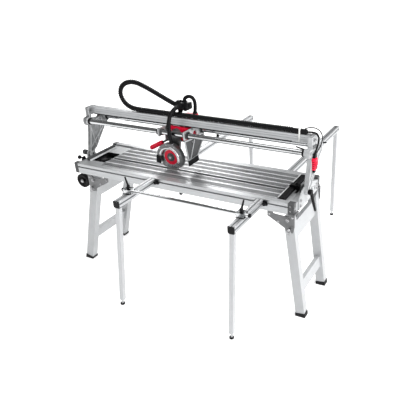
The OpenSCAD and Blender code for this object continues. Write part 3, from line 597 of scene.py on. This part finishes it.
# ---------- switch, button and tilt lever ----------
END_X = 849
case = Shape()
case.prism([(-18, 936), (16, 936), (20, 940), (20, 1000), (12, 1010), (-12, 1010), (-22, 1000), (-22, 940)],
           "x", END_X + 0.2, END_X + 22)
case.prism([(-15, 940), (13, 940), (16, 943), (16, 998), (9, 1006), (-9, 1006), (-18, 998), (-18, 943)],
           "x", END_X + 21, END_X + 26)
case.piece("Switch_case", "gantry", RED, 1.8, replaces="switch_box")
front = Shape()
front.ring(12.6, 15.6, 0, 2, (END_X + 25.5, -1, 973), X, 32, 0.6)
for k in range(5):
    front.block(END_X + 25.4, END_X + 26.6, -12, 10, 944 + 3 * k, 945.4 + 3 * k)
for z in (950, 962, 974, 986):
    front.block(END_X + 4, END_X + 20, -22.8, -21.6, z, z + 3)
front.piece("Switch_case_trim", "gantry", BLACK, 0.4)
Shape().turned([(12, 12), (12, 28), (11.2, 30), (7, 31), (0.5, 31)], (END_X, -1, 973), X, 30).piece(
    "Switch_button_cap", "button", RED, 0.4, replaces="power_button")
socket = Shape()
socket.prism([(-14, 1010), (14, 1010), (14, 1026), (9, 1034), (-9, 1034), (-14, 1026)],
             "x", END_X + 2, END_X + 20)
socket.prism([(-10, 918), (10, 918), (13, 936), (-13, 936)], "x", END_X + 3, END_X + 18)
socket.piece("Switch_end_caps", "gantry", BLACK, 1.6)
signal_route = [(782, 36, 1162), (806, 38, 1172), (834, 42, 1174), (862, 50, 1162), (878, 58, 1138),
                (884, 56, 1108), (882, 40, 1078), (872, 18, 1048), (864, 6, 1032)]
SIGNAL_R = 3.2
path = smooth_path(signal_route, 4)
signal_lead = Shape().tube(path, SIGNAL_R, 12).piece("Signal_lead", "gantry", RUBBER, smooth=60)


def lever(shape, hub, axis, way, reach, hub_r, hub_h, r0, r1, rise=0.0):
    """Clamp lever: grooved hub on its post and a tapered handle with a rounded end."""
    axis, way = Vector(axis).normalized(), Vector(way).normalized()
    hub = Vector(hub)
    shape.turned([(hub_r * 0.8, 0), (hub_r * 0.8, 2), (hub_r, 3), (hub_r, hub_h * 0.45),
                  (hub_r - 1.5, hub_h * 0.5), (hub_r, hub_h * 0.55), (hub_r, hub_h - 2), (hub_r - 2, hub_h),
                  (hub_r * 0.4, hub_h)], hub, axis, 22)
    base = hub + axis * hub_h * 0.68
    end = base + way * reach + axis * rise
    points = [base.lerp(end, t) for t in (0, 0.15, 0.35, 0.6, 0.8, 0.92, 0.97, 1.0)]
    radii = [r0, r0, r0 * 0.92, (r0 + r1) / 2, r1, r1 * 0.95, r1 * 0.7, r1 * 0.25]
    return shape.tube(points, radii, 14)


down = Vector((0.12, math.sin(math.radians(14)), -math.cos(math.radians(14))))
tilt = lever(Shape(), (END_X + 0.5, -61, 815), X, down, 146, 17, 24.4, 10.5, 8.0)
tilt.piece("Tilt_lever", "tilt_lever", BLACK, 0.6, replaces="tilt_lock_lever", smooth=45)


def clamp(name, body, x, y, z, degrees, reach, node):
    """Small clamp lever on an upright post, its handle rising by ten degrees."""
    way = (math.cos(math.radians(degrees)), math.sin(math.radians(degrees)), 0)
    rise = reach * math.sin(math.radians(10))
    shape = lever(Shape(), (x, y, z), Z, way, reach - 3, 10, 21, 6.6, 5.2, rise=rise)
    shape.turned([(5, 20), (5, 24), (3.4, 25)], (x, y, z), Z, 6)
    shape.piece(name, body, BLACK, 0.5, replaces=node, smooth=45)


TOP = 800
ARM_X = (-155, 612)
clamp("Left_bar_lever", "stop_left_clamp", ARM_X[0], -461, TOP + 28.4, 138, 110, "stop_bar_left_lever")
clamp("Right_bar_lever", "stop_right_clamp", ARM_X[1], -461, TOP + 28.4, 108, 90, "stop_bar_right_lever")
clamp("Rear_left_handle", "rear_left_clamp", ARM_X[0], 620, TOP - 1.6, 130, 80, "rear_left_lever")
clamp("Rear_right_handle", "rear_right_clamp", ARM_X[1], 770, TOP - 1.6, -30, 95, "rear_right_lever")

# ---------- gantry ends ----------
for side, body_x in ((-1, "left"), (1, "right")):
    ribs = Shape()
    face = END_X if side > 0 else 812
    near = face - 20
    edge = [(-72, 832), (-69, 850), (-42, 960), (-30, 1020), (-28, 1078), (-27, 1134), (43, 1134),
            (156, 1062), (156, 1008), (118, 986), (-10, 850), (-46, 830)]
    for x0, x1 in (sorted((side * face, side * (face + 4))), sorted((side * near, side * (near - 4)))):
        for a, b in zip(edge, edge[1:]):
            bar(ribs, a, b, 3.2, x0, x1)
        bar(ribs, (-66, 858), (110, 990), 3, x0, x1)
        bar(ribs, (-12, 856), (-34, 1018), 3, x0, x1)
        bar(ribs, (-30, 1020), (60, 1046), 3, x0, x1)
        bar(ribs, (10, 876), (90, 1040), 2.4, x0, x1)
    for y, z in TUBES:
        ribs.ring(13, 24, face, face + 5, (0, y, z), X * side, 28, 1)
    eye = face if side < 0 else -near
    ribs.ring(12, 21, eye, eye + 4, (0, -61, 815), -X, 32, 1)
    ribs.piece(f"{body_x.capitalize()}_support_ribs", "gantry", CAST, 0.8)
    bolts = Shape()
    for y, z in ((12, 1108), (30, 1108), *TUBES):
        bolts.bolt((side * (face + 0.2), y, z), X * side, 7, 6)
    if side > 0:
        for y in (10, 30):
            bolts.bolt((near + 6, y, 1138), Z, 5, 4)
    bolts.piece(f"{body_x.capitalize()}_support_bolts", "gantry", STEEL, 0.3)
    inside = Shape()
    for y, z in TUBES:
        inside.ring(17.4, 25, -near, 14 - near, (0, y, z), X * -side, 32, 1.2)
    inside.piece(f"{body_x.capitalize()}_tube_sockets", "gantry", CAST, 0.6)
stop = Shape()
for y, z in TUBES:
    for x, way in ((-777.5, X), (814.5, -X)):
        stop.ring(17.4, 23, 0, 12, (x, y, z), way, 28, 2.5)
stop.piece("Carriage_buffers", "gantry", RUBBER, 0.0)
latch = lever(Shape(), (806, -50, 1064), Z, (-0.96, 0.1, 0), 48, 6, 12, 4.8, 4.2, rise=8)
latch.piece("Carriage_park_latch", "gantry", BLACK, 0.4)


def lobes(cx, cy, r, wave):
    """Outline of a knob with six lobes."""
    steps = [2 * math.pi * k / 48 for k in range(48)]
    return [(cx + (r + wave * math.cos(6 * t)) * math.cos(t), cy + (r + wave * math.cos(6 * t)) * math.sin(t))
            for t in steps]


knob = Shape()
knob.prism(lobes(-61, 815, 17.5, 1.4), "x", -868, -853)
knob.turned([(12, 0), (12, 3), (9.5, 9)], (-853, -61, 815), X, 24)
knob.piece("Left_pivot_knob", "table", BLACK, 2.2)
stop_knob = Shape()
stop_knob.prism(lobes(-128, 800, 13, 1.2), "x", -862, -848)
stop_knob.turned([(5, 0), (5, 30)], (-849, -128, 800), X, 14)
stop_knob.prism([(-150, 782), (-104, 782), (-112, 812), (-142, 812)], "x", -820, -815)
stop_knob.piece("Left_stop_knob", "table", BLACK, 1.6)

# ---------- table ----------
lip = Shape()
section = [(-777, 790), (-754, 790), (-754, 794)]
for k in range(8):
    t0, t1 = k / 8, (k + 0.55) / 8
    for t, out in ((t0, 0), (t0, 1.6), (t1, 1.6), (t1, 0)):
        section.append((-754 - 16 * t + out * 0.7, 794 + 16 * t + out * 0.7))
section += [(-770, 810), (-777, 810)]
lip.prism(section, "y", -135, 145)
lip.piece("Ribbed_splash_lip", "table", CAST_DARK, 0.3, replaces="splash_lip")
flange = Shape()
flange.prism([(-753.8, 790.2), (-744, 790.2), (-744, 793), (-751, 793), (-751, 799), (-753.8, 799)],
             "y", -135, 145)
flange.piece("Splash_lip_flange", "table", EDGE_HIGHLIGHT_SILVER, 0.4)
BANDS = ((-182, -124), (-124, -65), (-38, 17), (17, 72), (72, 127), (127, 182))
# Raised beads along the plank edges, in the painted-highlight silver.
beads = Shape()
for y0, y1 in BANDS:
    for y in (y0 + 1.0, y1 - 6.0):
        beads.prism([(y, 799.6), (y + 5, 799.6), (y + 4.2, 801), (y + 0.8, 801)], "x", -619.5, 699.5)
beads.piece("Plank_edge_beads", "table", EDGE_HIGHLIGHT_SILVER, 0.0)
strip = Shape()
for k in range(34):
    strip.block(711, 739, -176 + 10.4 * k, -171 + 10.4 * k, 805.5, 807.4)
strip.piece("End_strip_treads", "table", RUBBER, 0.4)
edge = Shape()
edge.prism([(697, 800.1), (710, 800.1), (710, 808), (706, 809), (699, 804)], "y", -182, 182)
edge.piece("End_strip_edge", "table", EDGE_HIGHLIGHT_SILVER, 0.5)
shoe = Shape()
shoe.prism([(708, 807), (772, 807), (772, 816), (764, 821), (716, 821), (708, 815)], "y", -20, 16)
shoe.turned([(11, 0), (11, 3), (8, 5), (8, 12), (6, 14)], (752, -2, 820), Z, 20)
shoe.block(752, 790, -12, 8, 798, 806)
shoe.piece("End_strip_shoe", "table", BLACK, 1.2)
basin = Shape()
for x0, x1, y0, y1 in ((-752, -632, -120, -117), (-752, -632, 47, 50), (-752, -749, -120, 50),
                       (-635, -632, -120, 50)):
    basin.block(x0, x1, y0, y1, 770, 790.4)
basin.piece("Pump_well_wall", "table", RUBBER, 0.4)
pump = Shape()
pump.prism([(-740, 736), (-664, 736), (-664, 770), (-672, 774), (-732, 774), (-740, 770)], "y", -88, -14)
pump.turned([(22, 0), (22, 6), (19, 8), (8, 8)], (-702, -50, 772), Z, 28)
for k in range(9):
    pump.block(-736, -668, -84 + 8 * k, -81 + 8 * k, 735.4, 776)
pump.turned([(7, 0), (7, 12), (5.5, 13), (5.5, 17)], (-702, -13, 760), Y, 18)
for y0 in (-86, -30):
    pump.turned([(3, 0), (3, 2)], (-730, y0, 773), Z, 10)
pump.piece("Pump_case", "table", BLACK, 1.2, replaces="water_pump")
bolts = Shape()
for sx in (-1, 1):
    for sy in (-1, 1):
        for z in (750, 780):
            bolts.bolt((sx * 800, sy * 218.2, z), Y * sy, 6, 4)
        bolts.bolt((sx * 819.8, sy * 204, 765), X * sx, 6, 4)
    for y in (-150, -90, 90, 150):
        bolts.bolt((sx * 819.8, y if sx < 0 else y * 0.72, 750), X * sx, 5, 4)
for y, z in ((-130, 750), (140, 750), (140, 780), (-130, 785)):
    bolts.bolt((828.2, y, z), X, 7, 5)
bolts.piece("Table_bolts", "table", STEEL, 0.3)
mechanism = Shape()
mechanism.block(786, 791.6, -40, 80, 789, 806)
for y in (-20, 14, 48):
    mechanism.turned([(9, 0), (9, 10), (6, 12), (6, 20)], (788, y, 800), Z, 16)
mechanism.tube([(789, 60, 806), (776, 66, 816), (766, 80, 818)], 4.5, 12)
mechanism.piece("Tilt_stop_block", "table", CAST_DARK, 1.0)
rod = Shape()
wire_route = [(833, -40, 830), (836, -20, 845), (838, -6, 858), (840, 0, 850), (840, 2, 822),
              (842, 10, 816), (866, 30, 820), (886, 44, 824)]
rod.tube(smooth_path(wire_route, 5), 2.2, 10)
rod.piece("Tilt_stop_wire", "table", STEEL, 0.0, smooth=60)

# ---------- clamp blocks, caps and feet of the side arms ----------
ARMS = ((ARM_X[0], "front", "front_extension"), (ARM_X[1], "front", "front_extension"),
        (ARM_X[0], "rear", "rear_left"), (ARM_X[1], "rear", "rear_right"))
LEG = {"front": -570, "rear": 1180}
LEG_LEAN = {("front", ARM_X[0]): 110, ("front", ARM_X[1]): 48}
for x, where, body in ARMS:
    sign = -1 if where == "front" else 1
    tag = f"{where.capitalize()}_{'left' if x < 0 else 'right'}"
    far = -590 if where == "front" else 1200
    cap = Shape()
    a, b = sorted((far + sign * 1.5, far - sign * 7))
    cap.prism([(x - 20.6, 757.4), (x + 20.6, 757.4), (x + 20.6, 798.6), (x - 20.6, 798.6)], "y", a, b)
    if where == "front":
        cap.prism([(x - 17, 752), (x + 17, 752), (x + 17, 760), (x - 17, 760)], "y", -588, -552)
    cap.piece(f"{tag}_arm_cap", body, BLACK, 1.6)
    foot = Shape().ring(6.5, 14.8, 0.1, 11.5, (x - LEG_LEAN.get((where, x), 0), LEG[where], 0), Z, 32, 1.2)
    foot.piece(f"{tag}_foot_pad", body, RUBBER, 0.0)
    clampb = Shape()
    root = sign * 225.6
    a, b = sorted((root, root + sign * 11))
    clampb.prism([(x + 21, 764), (x + 47, 764), (x + 47, 794), (x + 21, 794)], "y", a, b)
    clampb.turned([(7, 0), (7, 5), (11, 7), (11, 15), (9, 17)],
                  (x + 34, root + sign * 10.5, 779), Y * sign, 18)
    clampb.piece(f"{tag}_rail_clamp", body, BLACK, 1.4)
    plate = Shape()
    plate.prism([(x - 36, 762), (x - 21, 762), (x - 21, 790), (x - 36, 790)], "y", a, b)
    plate.bolt((x - 29, root + sign * 11, 776), Y * sign, 5, 4)
    plate.piece(f"{tag}_rail_nut_plate", body, ZINC, 0.8)

for x, name in zip(ARM_X, ("left", "right")):
    holder = Shape()
    cheek = [(x - 26, 798.6), (x + 26, 798.6), (x + 26, 822), (x + 20, 828), (x - 20, 828), (x - 26, 822)]
    holder.prism(cheek, "y", -486, -474.4)
    holder.prism(cheek, "y", -447.6, -436)
    holder.prism([(x - 27, 798.5), (x + 27, 798.5), (x + 27, 803), (x - 27, 803)], "y", -488, -434)
    holder.piece(f"Bar_clamp_cheeks_{name}", "stop_fence", BLACK, 1.2)
ends = Shape()
ends.turned([(11.6, 0), (11.6, 10), (9, 13), (2, 13)], (655, -461, 813), X, 22)
ends.turned([(11.6, 0), (11.6, 10), (9, 13), (2, 13)], (-193, -461, 813), -X, 22)
ends.piece("Bar_end_caps", "stop_fence", BLACK, 0.0)

# ---------- wheels, tap and pins ----------
tyres, hubs = Shape(), Shape()
WHEEL = (-841, 630, 52)
TREAD = ((-2, -2.4), (1.4, -2.4), (1.4, 2.4), (-2, 2.4))


def spoke(a):
    """Ways outwards and along the rim at angle a of a wheel."""
    return Vector((math.cos(a), 0, math.sin(a))), Vector((-math.sin(a), 0, math.cos(a)))


for s in (-1, 1):
    centre = Vector((WHEEL[0], s * 145, WHEEL[1]))
    tyres.ring(37, WHEEL[2] - 0.6, -13.5, 13.5, centre, Y, 48, 4)
    for k in range(24):
        a = 2 * math.pi * k / 24
        out, along = spoke(a)
        for side in (-1, 1):
            mid = centre + spoke(a + side * 0.06)[0] * (WHEEL[2] - 1.6)
            y0, y1 = (-12, -1) if side < 0 else (1, 12)
            tyres.rings([[mid + out * i + along * j + Y * y for i, j in TREAD] for y in (y0, y1)])
    hubs.ring(8.1, 15, -14, 14, centre, Y, 28, 1)
    hubs.ring(31, 38, -9, 9, centre, Y, 44, 1)
    hubs.ring(8.1, 34, -3, 3, centre, Y, 44, 0.4)
    for k in range(6):
        out, along = spoke(2 * math.pi * k / 6)
        hubs.rings([[centre + out * i + along * w + Y * y for y, w in ((-6, -3), (6, -3), (6, 3), (-6, 3))]
                    for i in (13, 33)])
tyres.piece("Wheel_tyres", "wheels", RUBBER, 0.5, replaces="transport_wheels")
hubs.piece("Wheel_hubs", "wheels", BLACK, 0.6)
axle = Shape()
for s in (-1, 1):
    axle.turned([(14, 0), (14, 1.5), (11, 2), (11, 5), (7, 7), (1, 7)],
                (WHEEL[0], s * 160, WHEEL[1]), Y * s, 6)
axle.piece("Wheel_axle_nuts", "table", STEEL, 0.5)
tap = Shape()
tap.turned([(6, 0), (6, 50)], (0, -150, 693), Z, 18)
tap.prism(lobes(0, -150, 10.8, 1.2), "z", 678.2, 693)
tap.piece("Drain_tap_knob", "drain", BLACK, 1.2, replaces="drain_tap")
for px, name, node in ((-685, "left", "left_lock_pin"), (800, "right", "right_lock_pin")):
    pin = Shape()
    pin.turned([(3.6, 0), (5, 2), (5, 24), (8, 25), (8, 30), (5.5, 33), (5.5, 36)], (px, -217.4, 640), -Y, 20)
    ring = [(px + 13 * math.cos(t), -246 - 1.5 * math.sin(t), 622 + 13 * math.sin(t))
            for t in (2 * math.pi * k / 40 for k in range(41))]
    pin.tube(ring, 2.4, 10)
    pin.piece(f"Lock_pin_{name}", f"{name}_pin", STEEL, 0.3, replaces=node, smooth=50)

# ---------- trestle details ----------
HINGE_Z, FOOT_X = 692, 870.5
for s, name, hinge in ((-1, "left", 670), (1, "right", 785)):
    screws = Shape()
    for y in (-190, 190):
        for side in (-1, 1):
            screws.bolt((s * hinge, y + side * 37.4, HINGE_Z), Y * side, 8, 6)
        out = 1 if y > 0 else -1
        for x, z in ((-118, 710), (-60, 672), (30, 712), (12, 624)):
            screws.bolt((s * (hinge + x), y + 34.2 * out, z), Y * out, 5, 4)
    screws.piece(f"{name.capitalize()}_bracket_bolts", "table", STEEL, 0.3)
    slant = math.atan2(FOOT_X - hinge, HINGE_Z)
    plates = Shape()
    for d, half in ((-502, 44), (-98, 48)):
        for y in (-190, 190):
            inner = y + (25.4 if y < 0 else -25.4)
            a, b = sorted((inner, inner + (3.5 if y < 0 else -3.5)))
            x, z = s * (hinge - d * math.sin(slant)), HINGE_Z + d * math.cos(slant)
            u = Vector((s * math.cos(slant), math.sin(slant)))
            w = Vector((-s * math.sin(slant), math.cos(slant)))
            corners = ((-1, -1), (1, -1), (1, 1), (-1, 1))
            plates.prism([tuple(Vector((x, z)) + u * i * 20 + w * j * half) for i, j in corners], "y", a, b)
    plates.piece(f"{name.capitalize()}_crossbar_flanges", f"{name}_trestle", PAINT, 0.8)

# ---------- finishes of the CAD nodes ----------
FINISH = {
    ALU_X: ["front_rail", "rear_rail", "gantry_beam"],
    ALU_Y: ["front_arms", "rear_left_arm", "rear_right_arm", "end_beams", "tray_covers"],
    ALU_Z: ["front_legs"],
    PLANK: ["table_planks"],
    CAST: ["pivot_brackets", "carriage_frame", "right_gantry_support"],
    # The left gantry support takes the darker cast as painted shade; the right one keeps the light cast.
    CAST_PAINTED_SHADE: ["left_gantry_support"],
    CAST_DARK: ["corner_blocks", "arm_cover", "pivot_pins", "tube_bushings"],
    ZINC: ["water_tray", "plank_bearers"],
    PAINT: ["left_trestle_frame", "right_trestle_frame"],
    BRACKET: ["trestle_brackets", "wheel_bracket"],
    BLACK: ["end_strip", "beam_seal", "drive_belt"],
    RUBBER: ["left_trestle_feet", "right_trestle_feet"],
    CHROME: ["guide_tubes", "stop_bar"],
    STEEL: ["motor_rotor", "arbor_shaft"],
    HEAD_GREY: ["arm_housing"],
}
ROUND = {"guide_tubes", "arbor_shaft", "motor_rotor", "tube_bushings", "drive_belt"}
for finish, names in FINISH.items():
    for name in names:
        node = frame["nodes"][name]
        for slot in node.material_slots:
            slot.material = finish
        if name in ROUND:
            continue
        weld = node.modifiers.new("Weld", "WELD")
        weld.merge_threshold = 0.00002
        ease = node.modifiers.new("Eased_edges", "BEVEL")
        ease.width, ease.segments = 0.0009, 2
        ease.limit_method, ease.angle_limit = "ANGLE", math.radians(40)

# ---------- floor and light ----------
floor_mesh = bpy.data.meshes.new("Studio_floor")
floor_mesh.from_pydata([(-40, -30, 0), (40, -30, 0), (40, 60, 0), (-40, 60, 0)], [], [(0, 1, 2, 3)])
pale = surface("studio_floor", (0.93, 0.93, 0.93), 0.9, 0, (2, 2, 2), 0.01, 0.0, specular=0.1)
pale.node_tree.nodes["Principled BSDF"].inputs["Emission Color"].default_value = (1, 1, 1, 1)
pale.node_tree.nodes["Principled BSDF"].inputs["Emission Strength"].default_value = 0.42
floor_mesh.materials.append(pale)
studio = bpy.data.objects.new("Studio_floor", floor_mesh)
bpy.context.scene.collection.objects.link(studio)


def lamp(name, place, target, size, watts):
    data = bpy.data.lights.new(name, "AREA")
    data.shape, data.size, data.energy = "DISK", size, watts
    o = bpy.data.objects.new(name, data)
    bpy.context.scene.collection.objects.link(o)
    o.location = place
    o.rotation_euler = (Vector(target) - Vector(place)).to_track_quat("-Z", "Y").to_euler()


sun = bpy.data.lights.new("Soft_sun", "SUN")
sun.energy, sun.angle = 2.9, math.radians(95)
soft = bpy.data.objects.new("Soft_sun", sun)
bpy.context.scene.collection.objects.link(soft)
soft.rotation_euler = (Vector((0, 0, 0)) - Vector((0.75, -0.15, 2.2))).to_track_quat("-Z", "Y").to_euler()
lamp("Side_light", (5.5, -1.2, 2.6), (0, 0, 0.8), 2.0, 170)
lamp("Rear_light", (-3.0, 4.0, 3.5), (0, 0, 0.8), 2.0, 90)
world = bpy.data.worlds.new("Studio")
world.use_nodes = True
world.node_tree.nodes["Background"].inputs["Color"].default_value = (1, 1, 1, 1)
world.node_tree.nodes["Background"].inputs["Strength"].default_value = 0.16
bpy.context.scene.world = world
bpy.context.scene.view_settings.view_transform = "Standard"
